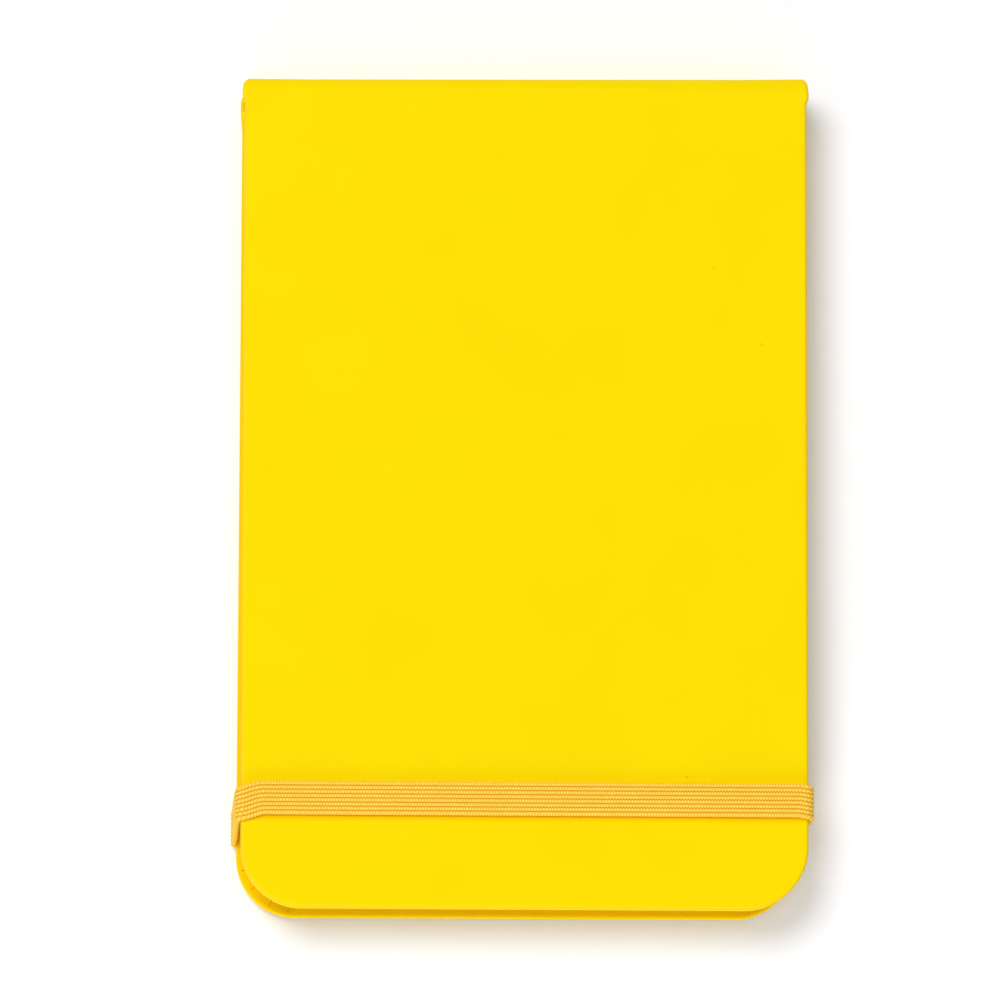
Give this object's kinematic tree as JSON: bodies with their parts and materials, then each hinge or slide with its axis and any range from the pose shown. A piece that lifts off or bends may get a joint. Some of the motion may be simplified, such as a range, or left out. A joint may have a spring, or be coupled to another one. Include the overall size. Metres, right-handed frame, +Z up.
{
  "type": "mini notebook",
  "caption": "Pocket notebook with hard covers bound along the top edge, rounded loose corners and a flat elastic strap round the covers.",
  "frame": {"origin": "bottom centre of the bounding box, under the middle of the pad as it lies on its back cover", "axes": "+X across the covers, +Y towards the spine, +Z up, out of the front cover"},
  "size_m": [0.102, 0.149, 0.0152],
  "materials": {
    "covering": "matt coated covering paper, fine grain",
    "elastic": "flat braided elastic of eight cords, soft sheen",
    "board": "grey bookbinding board",
    "endpaper": "uncoated endpaper, ivory",
    "pages": "uncoated writing paper, cut edges",
    "lining": "glued cotton gauze"
  },
  "bodies": {
    "pad": {"back_board": "board", "case_covering": "covering", "spine_liner": "board", "back_endpaper": "endpaper", "page_block": "pages", "spine_lining": "lining", "front_flyleaf": "endpaper", "elastic_strap": "elastic"},
    "front_cover": {"front_board": "board", "front_covering": "covering", "front_pastedown": "endpaper"}
  },
  "joints": [
    {"name": "cover_hinge", "type": "hinge", "parent": "pad", "child": "front_cover", "pos_m": [0, 0.0723, 0.01435], "axis": [-1, 0, 0], "range_deg": [0, 180], "deforming": ["elastic_strap"]}
  ]
}
